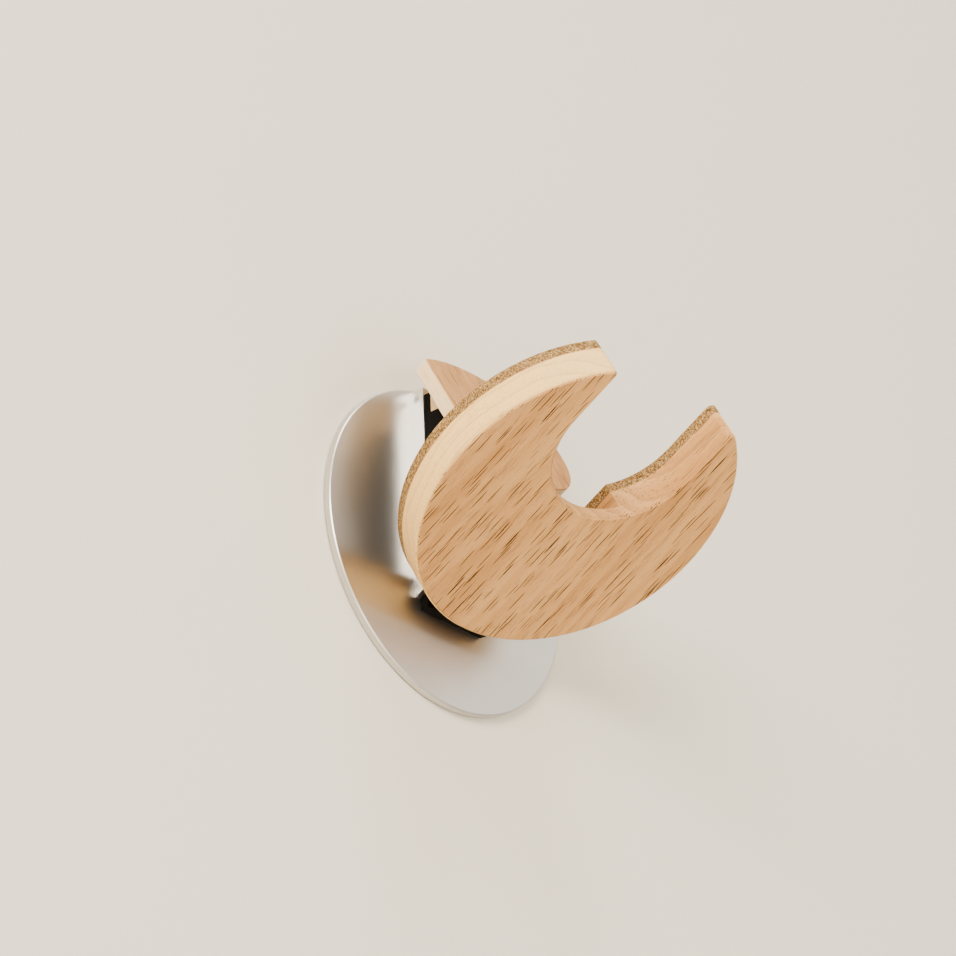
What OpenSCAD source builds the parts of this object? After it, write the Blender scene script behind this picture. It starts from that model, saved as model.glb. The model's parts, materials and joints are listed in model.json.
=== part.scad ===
// Wall guitar hanger: a round steel wall disc, a steel bracket that slides down over a dovetail rail,
// and a round oak yoke with a U notch for the neck, faced with cork. The piece that was sawn out of the
// notch stands behind it as an upright tongue and keeps the headstock off the wall.
// Millimetres. The wall is the plane Y = 0, the front is towards -Y, X is to the right and Z is up.
// The origin is the centre of the disc on the wall.

/* [Wall disc] */
// Diameter of the steel disc
disc_d = 114; // [104:1:130]
// Thickness of the steel disc
disc_t = 2.5; // [2.3:0.1:4]
// Chamfer on the disc's front edge
disc_chamfer = 0.4; // [0.2:0.1:0.8]
// Thickness of the soft pad between the disc and the wall
pad_t = 0.5; // [0.3:0.1:1.5]
// How far the pad's edge lies inside the disc's edge
pad_inset = 1; // [0.5:0.5:4]

/* [Wall screws] */
// Diameter of the two holes for the wall screws
wall_hole_d = 5; // [4:0.5:6]
// Diameter of the wall screws' countersunk heads
wall_head_d = 9; // [8:0.5:10]
// Distance between the two wall screws
wall_hole_gap = 46; // [40:1:48]
// Height of the middle of the two wall screws above the disc's centre
wall_hole_z = 15; // [13:1:17]
// How far the rail's lower end lies below the disc's centre
rail_low = 27; // [20:1:28]

/* [Bracket] */
// Width of the bracket's upright
bracket_w = 34; // [30:1:40]
// How far the upright stands out from the disc
bracket_depth = 6; // [5.5:0.5:9]
// Thickness of the upright's front web
web_t = 2; // [1.8:0.1:3]
// Thickness of the upright's side walls at the web
side_t = 1.5; // [1.2:0.1:3]
// How much each side wall thickens towards the disc, which makes the dovetail
dovetail = 0.8; // [0.5:0.1:1.2]
// Height of the upright's top above the disc's centre
bracket_top = 53; // [50:1:55]
// Thickness of the wall that closes the upright's top and rests on the rail
top_t = 2; // [1.5:0.5:3]
// Thickness of the leg that is let into the yoke
leg_t = 2; // [1.5:0.1:3]
// Play between the rail and the bracket
slide_fit = 0.15; // [0.1:0.05:0.3]

/* [Yoke] */
// Diameter of the round yoke
yoke_d = 113; // [104:1:124]
// Thickness of the oak plate
wood_t = 12.5; // [10:0.5:16]
// Thickness of the cork layer
cork_t = 4; // [2:0.5:6]
// Chamfer round the plate's underside
yoke_chamfer = 0.9; // [0.4:0.1:1.5]
// Upward tilt of the yoke towards the front, in degrees
yoke_tilt = 27.5; // [20:0.5:30]
// How far the centre of the yoke's underside lies below the disc's centre
yoke_drop = 5.3; // [2:0.1:8]
// Gap between the disc and the yoke's rim beside the bracket
rim_gap = 1.2; // [0.8:0.1:4]
// Width of the notch for the neck
notch_w = 56; // [48:1:60]
// How far the bottom of the notch lies behind the centre of the yoke
notch_past_centre = 1.4; // [-4:0.1:4]
// Radius of the rounded tips of the two horns
tip_r = 2; // [1.6:0.1:3]
// Width of the pocket in the plate's top behind the bottom of the notch
pocket_w = 36; // [35:1:46]
// How far the pocket reaches behind the bottom of the notch
pocket_l = 7; // [4:0.5:9]
// Thickness of the oak under the pocket
pocket_floor = 5; // [3:0.5:8]
// Radius of the pocket's inner corners
pocket_r = 4; // [2:0.5:6]

/* [Tongue] */
// Thickness of the upright tongue
tongue_t = 5.5; // [5:0.5:8]
// Width of the saw cut that parts the tongue from the notch
saw_cut = 0.2; // [0.1:0.1:2]
// Height of the tongue's crown above the oak plate
tongue_h = 66.5; // [60:0.5:76]
// Radius of the tongue's two upper corners, seen from the front
tongue_corner_r = 1.2; // [0.6:0.2:3]
// Distance from the bottom of the notch to the tongue's face
tongue_gap = 5.4; // [3:0.1:9]

/* [Wedge] */
// How much narrower than the bracket the wedge is, on each side
wedge_inset = 0.6; // [0:0.1:2]
// Height of the wedge's body above the disc's centre
wedge_top = 43; // [40:1:44]
// Height of the strip that rises above the wedge's body against the bracket
strip_h = 7.5; // [5:0.5:8]
// Thickness of that strip
strip_t = 2.6; // [2:0.2:4]

/* [Fasteners] */
// Shank diameter of the spine screws and of the rail screws
m4_d = 4; // [3:0.5:4]
// Distance between the two columns of spine screws
spine_gap = 18; // [14:1:20]
// Heights of the lower and upper spine screws above the disc's centre
spine_z = [15, 35]; // [5:1:38]
// How deep the spine screws reach into the tongue
spine_bite = 4; // [2.5:0.5:4.5]
// Diameter of the two dowels between the tongue and the wedge
dowel_d = 3; // [2:0.5:4]
// Length of the dowels
dowel_l = 10; // [8:0.5:14]
// How deep the dowels reach into the tongue
dowel_bite = 4; // [3:0.5:4.5]
// Distance between the two dowels
dowel_gap = 22; // [16:1:26]
// Height of the dowels above the oak plate
dowel_z = 28; // [26.5:0.5:30]
// Distance between the two rail screws
rail_screw_gap = 24; // [20:1:26]
// Shank diameter of the leg screws
leg_screw_d = 3.5; // [3:0.5:4]
// Length of the leg screws
leg_screw_l = 9.5; // [7:0.5:10.5]
// Distance between the two columns of leg screws
leg_screw_gap = 20; // [14:1:22]
// Distances of the two rows of leg screws in front of the yoke's back edge
leg_screw_rows = [14, 30]; // [10:1:34]
// Thread diameter of the lock screw
lock_d = 3; // [2.5:0.5:3]
// Depth of the lock screw's axis below the bracket's top
lock_drop = 3.5; // [3.5:0.1:6]

/* [Hidden] */
$fn = 96;
// Radial gap of a screw or dowel in its hole
hole_fit = 0.05;
// Gap between the bracket's upright and the wood beside it, and between its leg and the wood
recess_fit = 0.3;
leg_fit = 0.2;
// How far a cutting shape runs past what it cuts
over = 1;
// A cut that rounds an outer corner reaches this many radii out
corner_cut = 4;
// A screw's head is this many shanks wide, without its flat edge
head_share = 2;
// A drive socket is this share of its screw's head, and this share of its shank deep
socket_share = 0.5;
socket_depth_share = 0.4;
// Thickness of a screw head's flat edge, and the lengths of a sharp and of a blunt point
head_edge = 0.2;
sharp_point = 2;
blunt_point = 0.4;
// What is left of the rail in front of the rail screws, and the lock screw's play at the rail
rail_skin = 1.5;
lock_gap = 0.15;

disc_front = -(pad_t + disc_t);
disc_chamfer_r = disc_d / 2 - disc_chamfer;
bracket_front = disc_front - bracket_depth;
web_back = bracket_front + web_t;
rail_top = bracket_top - top_t;
rail_t = bracket_depth - web_t - slide_fit;
cavity_front = bracket_w / 2 - side_t;
cavity_back = cavity_front - dovetail;
dovetail_slope = dovetail / (bracket_depth - web_t);
// How far the lock screw reaches in from the bracket's side, to bear on the rail
lock_l = bracket_w / 2 - (cavity_back + dovetail_slope * bracket_depth / 2);

yoke_r = yoke_d / 2;
yoke_t = wood_t + cork_t;
notch_r = notch_w / 2;
notch_y = notch_past_centre - notch_r;
recess_half = bracket_w / 2 + recess_fit;
rim_y = sqrt(pow(yoke_r, 2) - pow(recess_half, 2));
yoke_out = rim_gap - disc_front + rim_y * cos(yoke_tilt) + yoke_t * sin(yoke_tilt);
tip_x = notch_r + tip_r;
tip_y = -sqrt(pow(yoke_r - tip_r, 2) - pow(tip_x, 2));

tongue_front = notch_past_centre + tongue_gap;
tongue_back = tongue_front + tongue_t;
tongue_r = notch_r - saw_cut;
tongue_l = yoke_r + notch_past_centre - saw_cut;
tongue_top = wood_t + tongue_h;
leg_end = tongue_back;
leg_z = wood_t - leg_t;
// Length of the leg, from its front end to inside the upright's web
leg_l = (web_t / 2 + bracket_front + yoke_out - wood_t * sin(yoke_tilt)) / cos(yoke_tilt) - leg_end;

// Height at which the yoke's plane, local z = n, stands at a distance y from the wall
function plane_z(n, y) = -yoke_drop + (n - (y + yoke_out) * sin(yoke_tilt)) / cos(yoke_tilt);
// Distance from the wall of the yoke's cross plane, local y = m, at a height z
function cross_y(m, z) = -yoke_out + m * cos(yoke_tilt)
    + (z + yoke_drop + m * sin(yoke_tilt)) * tan(yoke_tilt);

// Puts its children in the yoke's frame: x to the right, y towards the wall along the plate, z up
// through the plate from its underside
module in_yoke() {
    translate([0, -yoke_out, -yoke_drop])
        rotate([-yoke_tilt, 0, 0])
            children();
}

// A countersunk screw with its head's face at z = 0, pointing down. grow widens it to cut its hole.
module countersunk(shank_d, head_d, length, point, grow = 0) {
    shank_r = shank_d / 2 + grow;
    head_r = head_d / 2 + grow;
    cone_end = -head_edge - (head_r - shank_r);
    difference() {
        rotate_extrude()
            polygon([[0, grow > 0 ? over : 0], [head_r, grow > 0 ? over : 0], [head_r, -head_edge],
                [shank_r, cone_end], [shank_r, -length + point - grow], [0, -length - grow]]);
        if (grow == 0)
            translate([0, 0, -shank_d * socket_depth_share])
                cylinder(d = head_d * socket_share, h = shank_d, $fn = 6);
    }
}

// The places of the fasteners
module at_wall_holes() {
    for (side = [-1, 1])
        translate([0, 0, wall_hole_z + side * wall_hole_gap / 2])
            rotate([90, 0, 0])
                children();
}
module at_rail_screws() {
    for (side = [-1, 1])
        translate([0, -pad_t, wall_hole_z + side * rail_screw_gap / 2])
            rotate([-90, 0, 0])
                children();
}
module at_spine_screws(z) {
    for (side = [-1, 1])
        translate([side * spine_gap / 2, web_back, z])
            rotate([-90, 0, 0])
                children();
}
module at_leg_screws() {
    in_yoke()
        for (side = [-1, 1], row = leg_screw_rows)
            translate([side * leg_screw_gap / 2, rim_y - row, wood_t])
                children();
}
module at_dowels() {
    in_yoke()
        for (side = [-1, 1])
            translate([side * dowel_gap / 2, tongue_back - dowel_bite, wood_t + dowel_z])
                rotate([-90, 0, 0])
                    children();
}
module at_lock_screw() {
    translate([-bracket_w / 2, disc_front - bracket_depth / 2, bracket_top - lock_drop])
        rotate([0, -90, 0])
            children();
}

// The screws themselves, as solids or, with grow, as the holes that they need
module rail_screw(grow = 0) {
    countersunk(m4_d, head_share * m4_d, disc_t + rail_t - rail_skin, blunt_point, grow);
}
module spine_screw(z, grow = 0) {
    length = web_back - cross_y(tongue_back, z) + spine_bite;
    countersunk(m4_d, head_share * m4_d - 2 * head_edge, length, sharp_point, grow);
}
module leg_screw(grow = 0) {
    head_d = head_share * leg_screw_d - 2 * head_edge;
    countersunk(leg_screw_d, head_d, leg_screw_l, sharp_point, grow);
}
module dowel(grow = 0) {
    translate([0, 0, -grow])
        cylinder(d = dowel_d + 2 * grow, h = dowel_l + 2 * grow);
}
module lock_screw_body(grow = 0) {
    translate([0, 0, -lock_l])
        cylinder(d = lock_d + 2 * grow, h = lock_l - (grow > 0 ? -over : lock_gap));
}

module wall_pad() {
    color("dimgray")
        difference() {
            rotate([90, 0, 0])
                cylinder(d = disc_d - 2 * pad_inset, h = pad_t, $fn = 180);
            at_wall_holes()
                translate([0, 0, -over])
                    cylinder(d = wall_hole_d, h = pad_t + 2 * over);
        }
}

module wall_disc() {
    color("silver")
        difference() {
            rotate([90, 0, 0])
                rotate_extrude($fn = 180)
                    polygon([[0, pad_t], [disc_d / 2, pad_t], [disc_d / 2, -disc_front - disc_chamfer],
                        [disc_chamfer_r, -disc_front], [0, -disc_front]]);
            at_wall_holes()
                cylinder(d = wall_hole_d, h = over - disc_front);
            at_rail_screws()
                rail_screw(hole_fit);
        }
}

module rail_screws() {
    color("gray")
        at_rail_screws()
            rail_screw();
}

// The rail is wider at its front than at the disc, so the bracket can slide down it but not lift off
module slide_rail() {
    wide = cavity_back + dovetail_slope * rail_t - slide_fit;
    sink = (wall_head_d - wall_hole_d) / 2;
    color([0.09, 0.09, 0.1])
        difference() {
            translate([0, disc_front, -rail_low])
                linear_extrude(rail_top + rail_low)
                    polygon([[-(cavity_back - slide_fit), 0], [-wide, -rail_t], [wide, -rail_t],
                        [cavity_back - slide_fit, 0]]);
            at_wall_holes() {
                cylinder(d = wall_hole_d, h = over + rail_t - disc_front);
                translate([0, 0, rail_t - disc_front - sink])
                    cylinder(d1 = wall_hole_d, d2 = wall_head_d + 2 * over, h = sink + over);
            }
            at_rail_screws()
                rail_screw(hole_fit);
        }
}

// The upright is a channel closed at its top, and its lower end is cut along the underside of the leg
module bracket() {
    color("gainsboro")
        difference() {
            union() {
                intersection() {
                    translate([-bracket_w / 2, bracket_front, plane_z(leg_z, bracket_front) - bracket_depth])
                        cube([bracket_w, bracket_depth, 2 * bracket_top + yoke_r]);
                    upright_side();
                }
                leg();
            }
            bracket_cavity();
            for (z = spine_z)
                at_spine_screws(z)
                    spine_screw(z, hole_fit);
            at_leg_screws()
                leg_screw(hole_fit);
            at_lock_screw()
                lock_screw_body(hole_fit);
        }
}
// The upright's outline from the side
module upright_side() {
    rotate([90, 0, 90])
        linear_extrude(bracket_w + 2 * over, center = true)
            polygon([[disc_front, plane_z(leg_z, disc_front)], [disc_front, bracket_top],
                [bracket_front, bracket_top], [bracket_front, plane_z(leg_z, bracket_front)]]);
}
module leg() {
    in_yoke()
        translate([-bracket_w / 2, leg_end, leg_z])
            cube([bracket_w, leg_l, leg_t]);
}
module bracket_cavity() {
    bottom = plane_z(leg_z, bracket_front) - bracket_depth;
    translate([0, disc_front, bottom])
        linear_extrude(rail_top - bottom)
            polygon([[-cavity_back + dovetail_slope * over, over], [-cavity_front, web_back - disc_front],
                [cavity_front, web_back - disc_front], [cavity_back - dovetail_slope * over, over]]);
}

module lock_screw() {
    color("dimgray")
        at_lock_screw()
            difference() {
                lock_screw_body();
                translate([0, 0, -lock_l / 2])
                    cylinder(d = lock_d * socket_share, h = lock_l, $fn = 6);
            }
}

// The wedge fills the angle between the upright and the tongue, and stands on the leg
module wedge() {
    back = bracket_front;
    strip = back - strip_t;
    foot_y = -yoke_out + tongue_back * cos(yoke_tilt) + wood_t * sin(yoke_tilt);
    color([0.09, 0.09, 0.1])
        difference() {
            rotate([90, 0, 90])
                linear_extrude(bracket_w - 2 * wedge_inset, center = true)
                    polygon([[back, plane_z(wood_t, back)], [back, wedge_top + strip_h],
                        [strip, wedge_top + strip_h], [strip, wedge_top],
                        [cross_y(tongue_back, wedge_top), wedge_top], [foot_y, plane_z(wood_t, foot_y)]]);
            for (z = spine_z)
                at_spine_screws(z)
                    spine_screw(z, hole_fit);
            at_dowels()
                dowel(hole_fit);
        }
}

module upper_spine_screws() {
    color("gray")
        at_spine_screws(spine_z[1])
            spine_screw(spine_z[1]);
}
module lower_spine_screws() {
    color("gray")
        at_spine_screws(spine_z[0])
            spine_screw(spine_z[0]);
}

// The tongue is what the saw leaves of the notch: round at its lower end, and arched at its top as the
// yoke's rim is. It stands square to the yoke plate, and hangs free above it. A light shim on its back
// fills the angle above the wedge.
module tongue() {
    color("burlywood")
        difference() {
            union() {
                in_yoke()
                    translate([0, tongue_back, 0])
                        rotate([90, 0, 0])
                            linear_extrude(tongue_t)
                                tongue_outline();
                shim();
            }
            for (z = spine_z)
                at_spine_screws(z)
                    spine_screw(z, hole_fit);
            at_dowels()
                dowel(hole_fit);
        }
}
module tongue_outline() {
    round_z = tongue_top - tongue_l + tongue_r;
    corner_x = tongue_r - tongue_corner_r;
    corner_z = tongue_top - yoke_r + sqrt(pow(yoke_r - tongue_corner_r, 2) - pow(corner_x, 2));
    turn = atan2(corner_z - tongue_top + yoke_r, corner_x);
    reach = corner_cut * tongue_corner_r;
    difference() {
        intersection() {
            union() {
                translate([0, round_z])
                    circle(r = tongue_r, $fn = 180);
                translate([-tongue_r, round_z])
                    square([2 * tongue_r, tongue_l]);
            }
            translate([0, tongue_top - yoke_r])
                circle(r = yoke_r, $fn = 180);
        }
        for (side = [-1, 1])
            scale([side, 1])
                difference() {
                    polygon([[corner_x, corner_z], [tongue_r + over, corner_z],
                        [tongue_r + over, corner_z + reach],
                        [corner_x + reach * cos(turn), corner_z + reach * sin(turn)]]);
                    translate([corner_x, corner_z])
                        circle(r = tongue_corner_r);
                }
    }
}

module shim() {
    strip = bracket_front - strip_t;
    top = wedge_top + strip_h;
    rotate([90, 0, 90])
        linear_extrude(bracket_w - 2 * wedge_inset, center = true)
            polygon([[strip, wedge_top], [strip, top], [cross_y(tongue_back, top), top],
                [cross_y(tongue_back, wedge_top), wedge_top]]);
}

module tongue_dowels() {
    color("tan")
        at_dowels()
            dowel();
}

// A round layer of the yoke from z = low to z = high, chamfered at its underside, with the notch
module yoke_layer(low, high, chamfer) {
    difference() {
        rotate_extrude($fn = 180)
            polygon([[0, low], [yoke_r - chamfer, low], [yoke_r, low + chamfer], [yoke_r, high], [0, high]]);
        notch(low, high, chamfer);
        for (side = [-1, 1])
            mirror([side > 0 ? 0 : 1, 0, 0])
                tip_trim(low, high, chamfer);
    }
}
module notch(low, high, chamfer) {
    depth = high - low + 2 * over;
    translate([0, notch_y, low - over])
        cylinder(r = notch_r, h = depth);
    translate([-notch_r, -yoke_d, low - over])
        cube([notch_w, yoke_d + notch_y, depth]);
    if (chamfer > 0) {
        translate([0, notch_y, low - over])
            cylinder(r1 = notch_r + chamfer + over, r2 = notch_r, h = chamfer + over);
        translate([0, notch_y, low])
            rotate([90, 0, 0])
                linear_extrude(yoke_d)
                    polygon([[-notch_r - chamfer - over, -over], [notch_r + chamfer + over, -over],
                        [notch_r, chamfer], [-notch_r, chamfer]]);
    }
}
// What is cut from the right horn to round its tip
module tip_trim(low, high, chamfer) {
    reach = (yoke_r + corner_cut * tip_r) / (yoke_r - tip_r);
    difference() {
        translate([0, 0, low - over])
            linear_extrude(high - low + 2 * over)
                polygon([[tip_x, tip_y], [notch_r - over, tip_y], [notch_r - over, -yoke_r - over],
                    [tip_x * reach, tip_y * reach]]);
        translate([tip_x, tip_y, low + chamfer])
            cylinder(r = tip_r, h = high - low + 2 * over);
        if (chamfer > 0)
            translate([tip_x, tip_y, low - over])
                cylinder(r1 = max(tip_r - chamfer - over, 0), r2 = tip_r, h = chamfer + over);
    }
}
// The pocket behind the bottom of the notch, open at its front and top
module pocket() {
    back = notch_past_centre + pocket_l;
    translate([0, 0, pocket_floor])
        linear_extrude(yoke_t)
            difference() {
                translate([-pocket_w / 2, notch_y])
                    square([pocket_w, back - notch_y]);
                for (side = [-1, 1])
                    scale([side, 1])
                        difference() {
                            translate([pocket_w / 2 - pocket_r, back - pocket_r])
                                square(pocket_r + over);
                            translate([pocket_w / 2 - pocket_r, back - pocket_r])
                                circle(r = pocket_r);
                        }
            }
}
// The space that the bracket's upright needs behind the yoke, also while it slides on the rail
module upright_space() {
    translate([-recess_half, bracket_front - recess_fit, -yoke_d])
        cube([2 * recess_half, yoke_d, 2 * yoke_d]);
}

module yoke_plate() {
    color([0.78, 0.6, 0.42])
        difference() {
            in_yoke()
                difference() {
                    yoke_layer(0, wood_t, yoke_chamfer);
                    pocket();
                    translate([-bracket_w / 2 - leg_fit, leg_end - leg_fit, leg_z])
                        cube([bracket_w + 2 * leg_fit, yoke_r, leg_t + over]);
                }
            upright_space();
            at_leg_screws()
                leg_screw(hole_fit);
        }
}

module leg_screws() {
    color("gray")
        at_leg_screws()
            leg_screw();
}

// The cork lies on the plate in two halves, with the pocket and the wedge between them
module cork_pad() {
    color([0.82, 0.64, 0.42])
        difference() {
            in_yoke()
                difference() {
                    yoke_layer(wood_t, yoke_t, 0);
                    translate([-pocket_w / 2, notch_y, wood_t - over])
                        cube([pocket_w, yoke_d, cork_t + 2 * over]);
                }
            upright_space();
        }
}

wall_pad();
wall_disc();
rail_screws();
slide_rail();
bracket();
lock_screw();
wedge();
upper_spine_screws();
lower_spine_screws();
tongue();
tongue_dowels();
yoke_plate();
leg_screws();
cork_pad();
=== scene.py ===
# %% [markdown]
# # A wall hanger for a guitar
# The hanger is a round steel disc that is screwed flat to a wall, a steel bracket that slides down over
# a rail on the disc, and a round oak yoke that leans up towards the player. The yoke is faced with cork
# and has a slot for the neck, and the oak that was sawn out of the slot stands behind it as a back stop.
# The construction model already gives every piece its size and place. This lesson gives the pieces their
# softened edges and their finishes, and then sets up a small studio round them.

import json
import math

import bmesh
import bpy
from mathutils import Matrix, Vector


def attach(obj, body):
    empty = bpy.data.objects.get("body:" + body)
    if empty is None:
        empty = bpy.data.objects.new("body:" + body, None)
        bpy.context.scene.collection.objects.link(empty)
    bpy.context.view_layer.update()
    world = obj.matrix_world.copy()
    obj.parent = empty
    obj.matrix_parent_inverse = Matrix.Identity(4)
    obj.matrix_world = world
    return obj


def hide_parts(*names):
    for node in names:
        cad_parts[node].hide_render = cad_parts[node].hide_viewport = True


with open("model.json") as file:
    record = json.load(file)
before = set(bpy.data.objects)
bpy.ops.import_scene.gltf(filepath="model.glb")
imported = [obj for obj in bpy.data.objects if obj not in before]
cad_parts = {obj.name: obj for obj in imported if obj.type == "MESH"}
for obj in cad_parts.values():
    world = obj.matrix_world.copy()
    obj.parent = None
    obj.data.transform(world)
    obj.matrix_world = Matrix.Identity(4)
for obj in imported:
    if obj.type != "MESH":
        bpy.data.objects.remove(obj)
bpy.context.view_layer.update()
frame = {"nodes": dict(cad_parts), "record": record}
MM = 0.001
print("construction nodes:", sorted(frame["nodes"]))

# %% [markdown]
# ## A short way to write nodes
# A finish is a net of nodes, and most of the net is plain arithmetic. Wiring every sum by hand hides the
# idea, so one small class wraps a socket and turns + - * / on it into Math nodes. A second class holds
# the tree and has a single method that makes any other node. The same two classes write the finishes and,
# further down, the screws, because Math nodes are the same in both kinds of tree.

# %% A socket that can be calculated with
class Wire:
    def __init__(self, net, socket):
        self.net = net
        self.socket = socket

    def __add__(self, other):
        return self.net.maths("ADD", self, other)

    def __radd__(self, other):
        return self.net.maths("ADD", other, self)

    def __sub__(self, other):
        return self.net.maths("SUBTRACT", self, other)

    def __rsub__(self, other):
        return self.net.maths("SUBTRACT", other, self)

    def __mul__(self, other):
        return self.net.maths("MULTIPLY", self, other)

    def __rmul__(self, other):
        return self.net.maths("MULTIPLY", other, self)

    def __truediv__(self, other):
        return self.net.maths("DIVIDE", self, other)

    def __gt__(self, other):
        return self.net.maths("GREATER_THAN", self, other)

    def at_most(self, limit):
        return self.net.maths("MINIMUM", self, limit)

    def at_least(self, limit):
        return self.net.maths("MAXIMUM", self, limit)

    def maths(self, operation):
        """A Math node that takes this wire alone, such as FRACT or COSINE."""
        return self.net.maths(operation, self)

    def fade(self, start, end):
        """0 before start, 1 after end, and smooth in between. It also runs backwards."""
        settings = {"interpolation_type": "SMOOTHSTEP"}
        inputs = {"Value": self, "From Min": start, "From Max": end, "To Min": 0.0, "To Max": 1.0}
        return self.net.add("ShaderNodeMapRange", settings, inputs)


# %% A tree that is written as calls
class Net:
    def __init__(self, tree):
        self.tree = tree

    def feed(self, socket, value):
        if isinstance(value, Wire):
            self.tree.links.new(value.socket, socket)
        else:
            socket.default_value = value

    def add(self, kind, settings=None, inputs=None, out=0):
        """Makes one node: settings first, then values or wires into its sockets, and gives an output."""
        node = self.tree.nodes.new(kind)
        for name, value in (settings or {}).items():
            if name == "stops":
                self.set_stops(node.color_ramp, value)
            else:
                setattr(node, name, value)
        for key, value in (inputs or {}).items():
            self.feed(node.inputs[key], value)
        return Wire(self, node.outputs[out])

    def maths(self, operation, *values):
        return self.add("ShaderNodeMath", {"operation": operation}, dict(enumerate(values)))

    def set_stops(self, ramp, stops):
        while len(ramp.elements) < len(stops):
            ramp.elements.new(0.5)
        for element, (place, colour) in zip(ramp.elements, stops):
            element.position = place
            element.color = (*colour, 1.0)


# %% One material
class Finish(Net):
    def __init__(self, name):
        self.material = bpy.data.materials.new(name)
        self.material.use_nodes = True
        super().__init__(self.material.node_tree)
        self.tree.nodes.clear()
        self.shader = self.tree.nodes.new("ShaderNodeBsdfPrincipled")
        output = self.tree.nodes.new("ShaderNodeOutputMaterial")
        self.tree.links.new(self.shader.outputs[0], output.inputs["Surface"])

    def set(self, **values):
        """Sets sockets of the shader by name, with _ for a space."""
        for name, value in values.items():
            self.feed(self.shader.inputs[name.replace("_", " ")], value)

    def place(self, turn=(0, 0, 0), shift=(0, 0, 0)):
        """The place on the object in millimetres, turned and shifted."""
        here = self.add("ShaderNodeTexCoord", out="Object")
        inputs = {"Vector": here, "Location": shift, "Rotation": turn, "Scale": (1 / MM, 1 / MM, 1 / MM)}
        return self.add("ShaderNodeMapping", {}, inputs)

    def along(self, place, axis):
        return self.add("ShaderNodeSeparateXYZ", {}, {0: place}, axis)

    def stretch(self, place, scale):
        return self.add("ShaderNodeVectorMath", {"operation": "MULTIPLY"}, {0: place, 1: scale})

    def noise(self, place, scale=(1, 1, 1), detail=2.0, roughness=0.5):
        inputs = {"Vector": self.stretch(place, scale), "Scale": 1.0, "Detail": detail,
                  "Roughness": roughness}
        return self.add("ShaderNodeTexNoise", {"noise_dimensions": "3D"}, inputs)

    def cells(self, place, scale=(1, 1, 1), out="Distance", feature="F1"):
        inputs = {"Vector": self.stretch(place, scale), "Scale": 1.0}
        settings = {"voronoi_dimensions": "3D", "feature": feature}
        return self.add("ShaderNodeTexVoronoi", settings, inputs, out)

    def level(self, colour):
        """One number between 0 and 1 from a cell's random colour."""
        return self.add("ShaderNodeSeparateColor", {}, {0: colour}, "Red")

    def ramp(self, value, stops):
        return self.add("ShaderNodeValToRGB", {"stops": stops}, {0: value}, "Color")

    def mix(self, share, first, second):
        """A colour that goes from first to second as share goes from 0 to 1."""
        inputs = {0: share, 6: first, 7: second}
        return self.add("ShaderNodeMix", {"data_type": "RGBA"}, inputs, 2)

    def darken(self, colour, share, depth):
        """colour times 1 - share * depth."""
        keep = 1 - share * depth
        grey = self.add("ShaderNodeCombineXYZ", {}, {0: keep, 1: keep, 2: keep})
        return self.add("ShaderNodeMix", {"data_type": "RGBA", "blend_type": "MULTIPLY"},
                        {0: 1.0, 6: colour, 7: grey}, 2)

    def bump(self, height, depth, strength=1.0):
        """Relief that is depth metres high where height is 1."""
        inputs = {"Height": height, "Distance": depth, "Strength": strength}
        self.set(Normal=self.add("ShaderNodeBump", {}, inputs))


def tone(red, green, blue):
    """A linear colour from the 0 to 255 numbers of a paint chart."""
    def linear(v):
        v = v / 255
        return v / 12.92 if v <= 0.04045 else ((v + 0.055) / 1.055) ** 2.4
    return (linear(red), linear(green), linear(blue))


# %% [markdown]
# ## Oak
# Oak is a ring-porous wood. Each year it lays down a band of wide open tubes and then a band of dense
# wood, and where a saw cuts along the tubes they show as short dark dashes, all in the direction of the
# grain. On an edge that is cut across the grain the same tubes show as dots. So the pattern is made in
# three dimensions, as tubes in a block, and the surface just cuts through it: then face, rim and horn
# tips agree with each other. The dashes are cells that are stretched about thirty times along the grain.
# The rims are painted paler, partly for the sanded edge and partly as a painted highlight from the side
# light; they show the years as faint lines.

# %% How the yoke lies
YOKE_TILT = math.radians(27.5)
YOKE_CENTRE = Vector((0, -59.53, -5.3))  # middle of its underside, in millimetres


def board_frame(turn):
    """Turn and shift that lay the grain along y and put the yoke's centre at the origin."""
    rotation = Matrix.Rotation(turn, 3, "X")
    return (turn, 0, 0), -(rotation @ YOKE_CENTRE)


# %% Where a place lies in the board
YEAR = 5.2  # millimetres that the tree grew in a year


def years(wood, place, pith):
    """How far a place is through its year's growth, from 0 to 1. pith is the tree's centre line."""
    sway = wood.noise(place, (0.035, 0.006, 0.035), 2.0) - 0.5
    flat = wood.stretch(place, (1, 0, 1))
    away = wood.add("ShaderNodeVectorMath", {"operation": "DISTANCE"},
                    {0: flat, 1: (pith[0], 0, pith[1])}, "Value")
    return (away / YEAR + sway * 4.0).maths("FRACT")


def between_faces(wood, place, faces):
    """0 on the board's two broad faces, whose heights are given, and 1 on the edges between them."""
    depth = wood.along(place, "Z")
    low, high = faces
    return depth.fade(low + 0.05, low + 0.7) * depth.fade(high - 0.05, high - 0.7)


def outside_of(wood, place, radius):
    """1 further from the middle of the board than radius."""
    across = wood.stretch(place, (1, 1, 0))
    reach = wood.add("ShaderNodeVectorMath", {"operation": "LENGTH"}, {0: across}, "Value")
    return reach.fade(radius, radius + 0.6)


# %% The oak finish
# Tubes for each millimetre across the grain, along it and across it
WIDE_TUBES = (1.45, 0.052, 1.45)
FINE_TUBES = (2.3, 0.09, 2.3)


def pores(wood, place, tubes, early, swell, edge, core):
    """1 in the tubes and 0 between them. The tubes are wider in the early wood."""
    return (wood.cells(place, tubes) - early * swell).fade(edge, core)


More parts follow.
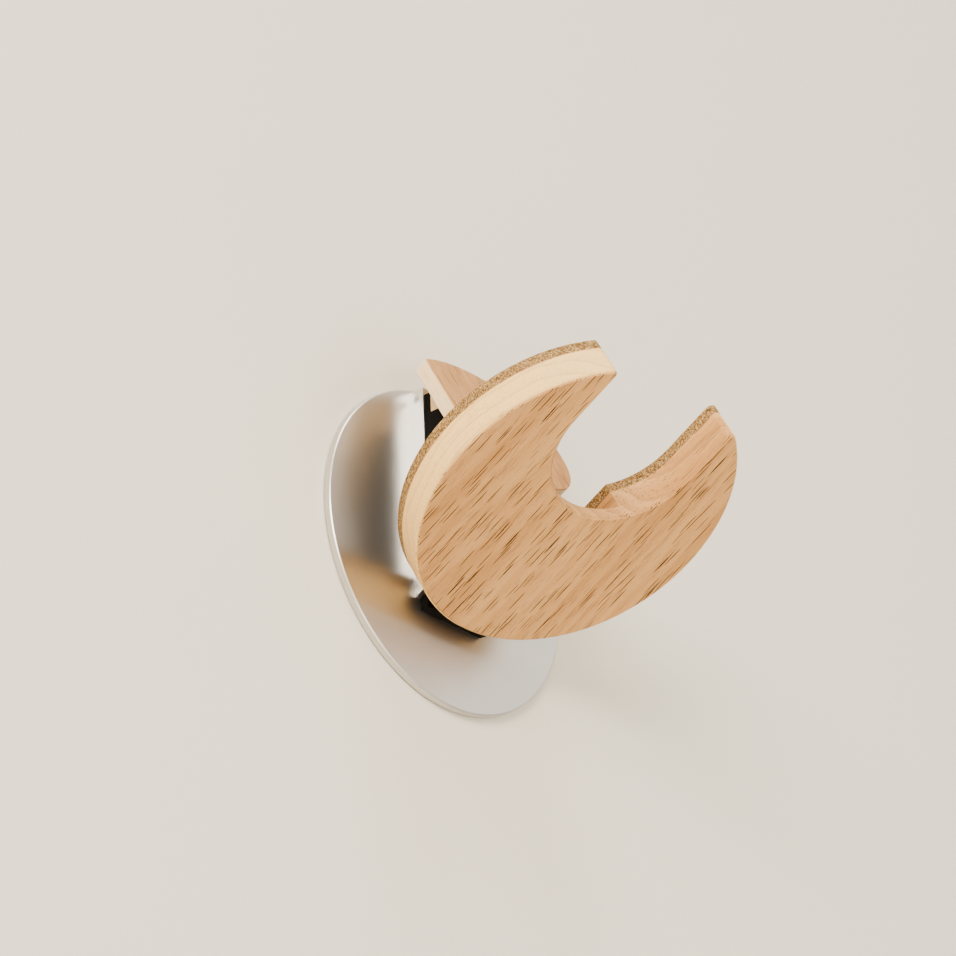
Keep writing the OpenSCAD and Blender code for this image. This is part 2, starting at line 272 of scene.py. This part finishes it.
def oak(name, turn, light, dark, lit_rim_tone, pore, pith, faces, lit_rim_from=-1):
    """An oak board. faces are the heights of its two broad faces, and pith is the tree's centre line.

    lit_rim_from is the radius from which the edges are painted pale, partly for the sanded edge and partly
    as painted light from the side. Below 0, all edges are pale. lit_rim_tone is that pale colour.
    """
    wood = Finish(name)
    place = wood.place(*board_frame(turn))
    inside = between_faces(wood, place, faces)
    # Painted light: the rims beyond that radius are painted paler, partly for the sanded edge and partly as
    # a painted highlight from the side light.
    pale_lit_rim = inside * outside_of(wood, place, lit_rim_from)
    ring = years(wood, place, pith)
    early = ring.fade(0.0, 0.15) * ring.fade(0.85, 0.35)
    broad = wood.noise(place, (0.055, 0.010, 0.055), 2.0)
    fibre = wood.noise(place, (2.6, 0.06, 2.6), 4.0, 0.65)
    grit = wood.noise(place, (2.2, 1.1, 2.2), 2.0, 0.6)
    wide = pores(wood, place, WIDE_TUBES, early, 0.02, 0.25, 0.20)
    fine = pores(wood, place, FINE_TUBES, early, 0.04, 0.24, 0.18)
    year_line = inside * ring.fade(0.0, 0.06) * ring.fade(0.26, 0.06)
    shade = broad * 0.50 + fibre * 0.34 + grit * 0.32 + early * 0.10
    colour = wood.mix(shade.fade(0.38, 0.90), (*light, 1), (*dark, 1))
    # Painted highlight: the rims are mixed towards their pale tone, which is partly sanded wood and partly
    # the side light on them.
    colour = wood.mix(pale_lit_rim * 0.80, colour, (*lit_rim_tone, 1))
    colour = wood.darken(colour, fine * (1 - inside * 0.55), 0.42)
    colour = wood.darken(colour, year_line, 0.13)
    # The open pores are fainter on the edges, and fainter still on the painted pale rims.
    colour = wood.mix(wide * (1.0 - inside * 0.50 - pale_lit_rim * 0.34), colour, (*pore, 1))
    wood.set(Base_Color=colour, Roughness=0.52 + fibre * 0.10 + wide * 0.2)
    wood.set(IOR=1.47, Specular_IOR_Level=0.35)
    wood.bump(fibre * 0.25 - wide - fine * 0.3, 0.00006, 0.6)
    return wood.material


# The third tone of each board is its pale rim, which is partly painted light.
yoke_oak = oak("yoke_oak", YOKE_TILT, tone(222, 174, 118), tone(192, 140, 86), tone(252, 212, 144),
               tone(34, 17, 8), (-75, -70), (0, 12.5), 55.6)
tongue_oak = oak("tongue_oak", YOKE_TILT + math.pi / 2, tone(206, 156, 104), tone(186, 136, 86),
                 tone(250, 224, 182), tone(140, 96, 60), (40, -90), (6.8, 40))
print("oak finishes:", yoke_oak.name, tongue_oak.name)

# %% [markdown]
# ## Cork
# The layer under the instrument is agglomerated cork: crumbs of bark half a millimetre across that are
# pressed together. Random cells give the crumbs, each with its own tan, and a thin dark line where
# two crumbs meet. A second, finer set of cells adds the few almost black crumbs that come from the outer
# bark.

# %% The cork finish
CRUMBS = (2.1, 2.1, 2.1)  # for each millimetre
SPECKS = (2.7, 2.7, 2.7)


def pressed_cork(name):
    cork = Finish(name)
    place = cork.place()
    crumb = cork.level(cork.cells(place, CRUMBS, "Color"))
    seam = cork.cells(place, CRUMBS, "Distance", "DISTANCE_TO_EDGE")
    speck = cork.level(cork.cells(place, SPECKS, "Color"))
    dust = cork.noise(place, (4.0, 4.0, 4.0), 3.0, 0.7)
    tan = cork.ramp(crumb, [(0.0, tone(138, 100, 60)), (0.3, tone(170, 130, 82)),
                            (0.7, tone(198, 160, 108)), (1.0, tone(216, 184, 134))])
    colour = cork.darken(tan, seam.fade(0.11, 0.0), 0.45)
    colour = cork.darken(colour, speck.fade(0.78, 0.84), 0.60)
    colour = cork.darken(colour, dust.fade(0.35, 0.75), 0.18)
    cork.set(Base_Color=colour, Roughness=0.82 + dust * 0.1, Specular_IOR_Level=0.25)
    cork.bump(seam.fade(0.0, 0.16) + dust * 0.5, 0.00014, 0.7)
    return cork.material


cork_face = pressed_cork("cork")

# %% [markdown]
# ## Steel
# There are three steels. The disc is satin: blasted so finely that it mirrors the wood as a soft blur.
# The bracket is brushed along its length, so its grain is a noise that is stretched upwards. The screws
# are zinc plated. All are the same shader with a different roughness and relief, so one function makes
# them, and the polish varies a little over the surface as handling leaves it.

# %% The steel finishes
def steel(name, colour, polish, grain, relief):
    metal = Finish(name)
    place = metal.place()
    brushed = metal.noise(place, grain, 3.0, 0.65)
    patch = metal.noise(place, (0.05, 0.05, 0.05), 2.0)
    metal.set(Base_Color=metal.mix(patch, (*colour, 1), (*[c * 0.93 for c in colour], 1)))
    metal.set(Metallic=1.0, Roughness=polish + (brushed - 0.5) * 0.10 + (patch - 0.5) * 0.06)
    metal.bump(brushed, relief, 0.5)
    return metal.material


disc_steel = steel("disc_steel", (0.70, 0.665, 0.62), 0.37, (2.6, 2.6, 2.6), 0.000012)
bracket_steel = steel("bracket_steel", (0.84, 0.83, 0.80), 0.34, (6.0, 6.0, 0.12), 0.00001)
screw_steel = steel("screw_steel", (0.66, 0.66, 0.64), 0.28, (5.0, 5.0, 5.0), 0.000008)
print("steels:", disc_steel.name, bracket_steel.name, screw_steel.name)

# %% [markdown]
# ## Black plastic, rubber and beech
# The wedge between the bracket and the back stop, and the rail that the bracket slides on, are moulded in
# matt black plastic with a fine spark texture; the rail's black is also painted shade, for the deep shade
# inside the bracket's channel. The pad behind the disc is soft black foam rubber. The two
# dowels between the wedge and the back stop are plain beech.

# %% The small finishes
def dull_black(name, colour, roughness, size, relief):
    skin = Finish(name)
    place = skin.place()
    speckle = skin.noise(place, (size, size, size), 3.0, 0.6)
    wear = skin.noise(place, (0.08, 0.08, 0.08), 2.0)
    skin.set(Base_Color=skin.mix(wear, (*colour, 1), (*[c * 1.5 for c in colour], 1)))
    skin.set(Roughness=roughness + (speckle - 0.5) * 0.15, Specular_IOR_Level=0.2)
    skin.bump(speckle, relief, 0.6)
    return skin.material


# On the rail this black is also painted shade, for the deep shade inside the bracket's channel.
black_plastic = dull_black("black_plastic", (0.004, 0.0035, 0.003), 0.72, 5.0, 0.00003)
pad_rubber = dull_black("pad", (0.035, 0.035, 0.035), 0.8, 3.0, 0.00006)
dowel_wood = oak("dowel_wood", YOKE_TILT, tone(224, 192, 152), tone(206, 168, 126),
                 tone(216, 180, 138), tone(150, 112, 78), (15, 30), (38, 42))

# %% [markdown]
# ## Softened edges
# No sawn, bent or turned edge is perfectly sharp, and it is the narrow highlight along an edge that
# tells the eye how big a thing is. Each piece that shows is therefore copied from its node, its loose
# triangles are joined into clean faces, and a Bevel modifier rounds the edges by a fraction of a
# millimetre. The copy stands for the node, whose own mesh is left alone.

# %% A softened copy of a node
FINISHES = {
    "pad": pad_rubber, "disc_steel": disc_steel, "screw_steel": screw_steel,
    "bracket_steel": bracket_steel, "black_plastic": black_plastic, "tongue_oak": tongue_oak,
    "dowel_wood": dowel_wood, "yoke_oak": yoke_oak, "cork": cork_face,
}
SLOT_OF = {part["node"]: part["material_slot"] for part in frame["record"]["subparts"]}
SAME_PLACE = 0.002 * MM
SAME_PLANE = math.radians(0.4)
SHARP_EDGE = math.radians(28)


def clean_copy(node):
    """The node's mesh with its triangles joined into flat faces, and sharp edges marked."""
    shape = bmesh.new()
    shape.from_mesh(frame["nodes"][node].data)
    bmesh.ops.remove_doubles(shape, verts=shape.verts, dist=SAME_PLACE)
    bmesh.ops.dissolve_limit(shape, angle_limit=SAME_PLANE, verts=shape.verts, edges=shape.edges)
    for edge in shape.edges:
        edge.smooth = edge.calc_face_angle(0.0) < SHARP_EDGE
    for face in shape.faces:
        face.smooth = True
    mesh = bpy.data.meshes.new(node + "_soft")
    shape.to_mesh(mesh)
    shape.free()
    return mesh


def soften(name, node, width):
    """A piece that stands for the node, with its edges rounded by width millimetres."""
    piece = bpy.data.objects.new(name, clean_copy(node))
    bpy.context.scene.collection.objects.link(piece)
    bevel = piece.modifiers.new("soft edges", "BEVEL")
    bevel.width = width * MM
    bevel.segments = 3
    bevel.limit_method = "ANGLE"
    bevel.angle_limit = SHARP_EDGE
    bevel.harden_normals = True
    bevel.miter_outer = "MITER_ARC"
    piece.data.materials.clear()
    piece.data.materials.append(FINISHES[SLOT_OF[node]])
    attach(piece, "root")
    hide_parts(node)
    print(f"{name}: {len(piece.data.polygons)} faces before its edges are rounded by {width} mm")


soften("turned_disc", "wall_disc", 0.09)
soften("folded_bracket", "bracket", 0.25)
soften("moulded_wedge", "wedge", 0.35)
soften("oak_tongue", "tongue", 0.35)
soften("oak_yoke", "yoke_plate", 0.25)
soften("cork_layer", "cork_pad", 0.30)

# %% [markdown]
# ## Screws with a real thread
# Eleven screws differ only in a few sizes, so one tree makes them all. A flat grid is rolled into a tube:
# across the grid runs the turn round the axis, and along it the way from the point to the head. The
# radius at each place follows from three straight lines for point, shank and head, and the thread is cut
# into it by a wave whose phase grows with the turn as well as the height, which is what makes it climb.
# The last rows of the grid fold inwards and make the hexagonal drive. The finished screw is then set on
# every point of the object that carries the tree.

# %% A tree for countersunk screws
COLUMNS = 24
ROWS_PER_TURN = 8
SEAM = 0.004 * MM  # points closer than this are one, which closes the tube, its point and its socket
SIZES = {"Shank radius": 2.0, "Head radius": 4.0, "Head edge": 0.2, "Length": 10.0, "Point": 2.0,
         "Pitch": 1.6, "Thread depth": 0.35, "Socket radius": 2.0, "Socket depth": 1.6}


def tree_inputs(tree):
    tree.interface.new_socket("Places", in_out="INPUT", socket_type="NodeSocketGeometry")
    for name, size in SIZES.items():
        socket = tree.interface.new_socket(name, in_out="INPUT", socket_type="NodeSocketFloat")
        socket.default_value = size * MM
    tree.interface.new_socket("Turn", in_out="INPUT", socket_type="NodeSocketVector")
    tree.interface.new_socket("Finish", in_out="INPUT", socket_type="NodeSocketMaterial")
    tree.interface.new_socket("Screws", in_out="OUTPUT", socket_type="NodeSocketGeometry")


def screw_surface(net, given, row, rows, angle):
    """Radius and height of the place on the screw that belongs to a row and an angle."""
    height = given["Length"] * ((row / (rows - 1)).at_most(1.0) - 1)
    neck = given["Head radius"] - given["Shank radius"] + given["Head edge"]
    cone = given["Shank radius"] + height + neck
    tip = (height + given["Length"]) * given["Shank radius"] / given["Point"]
    shank = cone.at_least(given["Shank radius"])
    body = tip.at_most(shank).at_most(given["Head radius"])
    wave = (height / given["Pitch"] + angle / (2 * math.pi)).maths("FRACT") * 2 - 1
    groove = 1 - wave.maths("ABSOLUTE")
    threaded = (height + neck).fade(0.0, given["Pitch"] * -1)
    body = body * (1 - groove * threaded * given["Thread depth"] / given["Shank radius"])
    sixth = math.pi / 3
    corner = (angle / sixth).maths("FRACT") * sixth - sixth / 2
    socket = given["Socket radius"] * math.cos(sixth / 2) / corner.maths("COSINE")
    in_socket = row > rows - 0.5
    at_floor = row > rows + 0.5
    at_centre = row > rows + 1.5
    radius = body * (1 - in_socket) + socket * (in_socket - at_centre)
    return radius, height - given["Socket depth"] * at_floor


def screw_tree():
    tree = bpy.data.node_groups.new("threaded_screws", "GeometryNodeTree")
    tree_inputs(tree)
    net = Net(tree)
    start = tree.nodes.new("NodeGroupInput")
    given = {socket.name: Wire(net, socket) for socket in start.outputs if socket.name}
    rows = (given["Length"] / given["Pitch"] * ROWS_PER_TURN).maths("CEIL")
    grid = net.add("GeometryNodeMeshGrid", {}, {"Size X": 1.0, "Size Y": 1.0, "Vertices X": COLUMNS + 1,
                                                "Vertices Y": rows + 3}, "Mesh")
    here = net.add("GeometryNodeInputPosition")
    across = net.add("ShaderNodeSeparateXYZ", {}, {0: here}, "X") + 0.5
    up = net.add("ShaderNodeSeparateXYZ", {}, {0: here}, "Y") + 0.5
    row = up * (rows + 2)
    angle = across * (2 * math.pi)
    radius, height = screw_surface(net, given, row, rows, angle)
    place = net.add("ShaderNodeCombineXYZ", {}, {0: radius * angle.maths("COSINE"),
                                                 1: radius * angle.maths("SINE"), 2: height})
    rolled = net.add("GeometryNodeSetPosition", {}, {"Geometry": grid, "Position": place})
    closed = net.add("GeometryNodeMergeByDistance", {}, {"Geometry": rolled, "Distance": SEAM})
    placed = net.add("GeometryNodeInstanceOnPoints", {}, {"Points": given["Places"], "Instance": closed,
                                                          "Rotation": given["Turn"]})
    real = net.add("GeometryNodeRealizeInstances", {}, {"Geometry": placed})
    dressed = net.add("GeometryNodeSetMaterial", {}, {"Geometry": real, "Material": given["Finish"]})
    end = tree.nodes.new("NodeGroupOutput")
    tree.links.new(dressed.socket, end.inputs["Screws"])
    return tree


SCREWS = screw_tree()
INPUT_ID = {item.name: item.identifier for item in SCREWS.interface.items_tree if item.in_out == "INPUT"}
print("screw tree:", len(SCREWS.nodes), "nodes")


# %% Set the screws in their holes
def screws(name, node, places, turn, **sizes):
    """Screws with their heads' faces at these places in millimetres, turned from pointing down."""
    carrier = bpy.data.meshes.new(name)
    carrier.from_pydata([[v * MM for v in place] for place in places], [], [])
    piece = bpy.data.objects.new(name, carrier)
    bpy.context.scene.collection.objects.link(piece)
    maker = piece.modifiers.new("screws", "NODES")
    maker.node_group = SCREWS
    for key, size in (SIZES | {k.replace("_", " "): v for k, v in sizes.items()}).items():
        maker[INPUT_ID[key]] = size * MM
    maker[INPUT_ID["Turn"]] = turn
    maker[INPUT_ID["Finish"]] = FINISHES[SLOT_OF[node]]
    graph = bpy.context.evaluated_depsgraph_get()
    plain = bpy.data.meshes.new_from_object(piece.evaluated_get(graph))
    piece.modifiers.clear()
    piece.data = plain
    for face in plain.polygons:
        face.use_smooth = True
    plain.set_sharp_from_angle(angle=math.radians(30))
    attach(piece, "root")
    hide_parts(node)
    print(f"{name}: {len(places)} screws, {len(plain.polygons)} faces")


def on_yoke(x, y, z):
    """A place that is given in the yoke's own frame, y along its plate and z square to it."""
    return YOKE_CENTRE + Matrix.Rotation(-YOKE_TILT, 3, "X") @ Vector((x, y, z))


# Places and lengths are those of the construction model's plain screws, in millimetres
TO_THE_FRONT = (-math.pi / 2, 0, 0)
INTO_YOKE = (-YOKE_TILT, 0, 0)
OAK_TOP = 12.5
LEG_PLACES = [on_yoke(side * 10, row, OAK_TOP) for side in (-1, 1) for row in (23.786, 39.786)]
SPINE_HEAD = {"Head_radius": 3.8, "Socket_radius": 1.9}

screws("rail_fixings", "rail_screws", [(0, -0.5, 3), (0, -0.5, 27)], TO_THE_FRONT, Length=4.85, Point=0.4,
       Pitch=0.7, Thread_depth=0.25)
screws("upper_spine_fixings", "upper_spine_screws", [(-9, -7, 35), (9, -7, 35)], TO_THE_FRONT,
       Length=21.68, **SPINE_HEAD)
screws("lower_spine_fixings", "lower_spine_screws", [(-9, -7, 15), (9, -7, 15)], TO_THE_FRONT,
       Length=32.09, **SPINE_HEAD)
screws("leg_fixings", "leg_screws", LEG_PLACES, INTO_YOKE, Length=9.5, Shank_radius=1.75,
       Head_radius=3.3, Socket_radius=1.65, Socket_depth=1.4, Pitch=1.4)
screws("grub_screw", "lock_screw", [(-16.85, -6, 49.5)], (0, -math.pi / 2, 0), Length=1.55, Point=0.3,
       Shank_radius=1.5, Head_radius=1.5, Head_edge=0.1, Socket_radius=0.75, Socket_depth=0.7,
       Pitch=0.5, Thread_depth=0.18)

# %% Give the nodes that stay their finishes
for name, node in frame["nodes"].items():
    node.data.materials.clear()
    node.data.materials.append(FINISHES[SLOT_OF[name]])

# %% [markdown]
# ## The studio
# The hanger lives on a wall, so the stage is a pale painted wall with a pale floor well below. The wall
# is a plain sheet whose back is see-through, so that views from behind show the hanger too. One large
# soft lamp stands to the left and in front, as a window would. Four weaker lamps and a gentle sky fill in.

# %% Wall and floor
def painted(name, colour):
    """Matt paint on the front of a sheet, and nothing at all on its back."""
    paint = Finish(name)
    place = paint.place()
    roller = paint.noise(place, (0.35, 0.35, 0.35), 3.0, 0.6)
    paint.set(Base_Color=(*colour, 1), Roughness=0.75 + roller * 0.1)
    paint.bump(roller, 0.00003, 0.3)
    behind = paint.add("ShaderNodeNewGeometry", out="Backfacing")
    clear = paint.add("ShaderNodeBsdfTransparent")
    solid = Wire(paint, paint.shader.outputs[0])
    both = paint.add("ShaderNodeMixShader", {}, {0: behind, 1: solid, 2: clear})
    output = next(n for n in paint.tree.nodes if n.type == "OUTPUT_MATERIAL")
    paint.feed(output.inputs["Surface"], both)
    return paint.material


HOLE_STEPS = 64
WALL_HOLE = 0.054  # the hole in the wall stays hidden behind the disc
FLOOR_Z = -1.3


def sheet_with_hole(name, corners, hole, material):
    """A flat sheet from its four corners, with a round hole of that radius at the origin if asked."""
    shape = bmesh.new()
    outer = [shape.verts.new(corner) for corner in corners]
    edges = [shape.edges.new((outer[i], outer[(i + 1) % 4])) for i in range(4)]
    if hole:
        turns = [2 * math.pi * i / HOLE_STEPS for i in range(HOLE_STEPS)]
        ring = [shape.verts.new((hole * math.cos(t), corners[0][1], hole * math.sin(t))) for t in turns]
        edges += [shape.edges.new((ring[i - 1], ring[i])) for i in range(HOLE_STEPS)]
        bmesh.ops.triangle_fill(shape, use_beauty=True, use_dissolve=False, edges=edges)
    else:
        shape.faces.new(outer)
    mesh = bpy.data.meshes.new(name)
    shape.to_mesh(mesh)
    shape.free()
    mesh.materials.append(material)
    sheet = bpy.data.objects.new(name, mesh)
    bpy.context.scene.collection.objects.link(sheet)
    return sheet


def face_towards(sheet, direction):
    """Turns the faces of a flat sheet so that they look in a direction."""
    for face in sheet.data.polygons:
        if face.normal.dot(Vector(direction)) < 0:
            face.flip()
    sheet.data.update()


wall_paint = painted("wall_paint", (0.82, 0.755, 0.645))
floor_paint = painted("floor_paint", (0.72, 0.70, 0.66))
wall = sheet_with_hole("wall", [(-4, 0, FLOOR_Z), (4, 0, FLOOR_Z), (4, 0, 3), (-4, 0, 3)],
                       WALL_HOLE, wall_paint)
face_towards(wall, (0, -1, 0))
floor = sheet_with_hole("floor", [(-4, 0, FLOOR_Z), (4, 0, FLOOR_Z), (4, -6, FLOOR_Z), (-4, -6, FLOOR_Z)],
                        None, floor_paint)
face_towards(floor, (0, 0, 1))


# %% Lamps and sky
def soft_lamp(name, place, size, watts, colour=(1, 1, 1)):
    """A round lamp that shines on the hanger from this place."""
    lamp = bpy.data.lights.new(name, "AREA")
    lamp.shape = "DISK"
    lamp.size = size
    lamp.energy = watts
    lamp.color = colour
    holder = bpy.data.objects.new(name, lamp)
    facing = (-place).to_track_quat("-Z", "Y").to_matrix().to_4x4()
    holder.matrix_world = Matrix.Translation(place) @ facing
    bpy.context.scene.collection.objects.link(holder)


soft_lamp("window", Vector((-2.2, -1.5, 0.6)), 1.3, 74, (1.0, 0.96, 0.89))
soft_lamp("low_front_fill", Vector((-0.4, -2.3, -1.0)), 1.2, 20, (1.0, 0.955, 0.89))
soft_lamp("ceiling", Vector((-0.4, -0.9, 2.2)), 1.2, 22, (1.0, 0.965, 0.91))
soft_lamp("right_front", Vector((1.7, -1.6, 1.2)), 1.3, 4, (1.0, 0.96, 0.89))
soft_lamp("behind", Vector((0.4, 1.6, 0.5)), 1.2, 12)

sky = bpy.data.worlds.new("sky")
sky.use_nodes = True
backdrop = sky.node_tree.nodes["Background"]
backdrop.inputs["Color"].default_value = (1.0, 0.955, 0.88, 1)
backdrop.inputs["Strength"].default_value = 0.75
bpy.context.scene.world = sky
bpy.context.scene.view_settings.look = "AgX - Medium High Contrast"

# %% [markdown]
# ## The camera
# The photograph looks up at the hanger from below and from the left, with a long lens from about 1.4 m.
# The direction, distance and lens were worked out from the outlines of the disc and the yoke. A camera
# looks along its own -Z with +Y up, so the three directions below are the columns of its matrix.

# %% Set the camera
CAMERA_PLACE = Vector((-0.93197, -0.81315, -0.62928))
RIGHT = Vector((0.66267, -0.74814, -0.0339))
DOWN = Vector((0.33168, 0.33377, -0.88238))
FORWARD = Vector((0.67145, 0.57349, 0.46932))

lens = bpy.data.cameras.new("camera")
lens.sensor_width = 36
lens.lens = 157.72
camera = bpy.data.objects.new("camera", lens)
looking = Matrix((RIGHT, -DOWN, -FORWARD)).transposed().to_4x4()
camera.matrix_world = Matrix.Translation(CAMERA_PLACE) @ looking
bpy.context.scene.collection.objects.link(camera)
bpy.context.scene.camera = camera
print("camera is", round(CAMERA_PLACE.length, 3), "m from the disc's centre")

# %% Bring the scene up to date, and finish
bpy.context.view_layer.update()
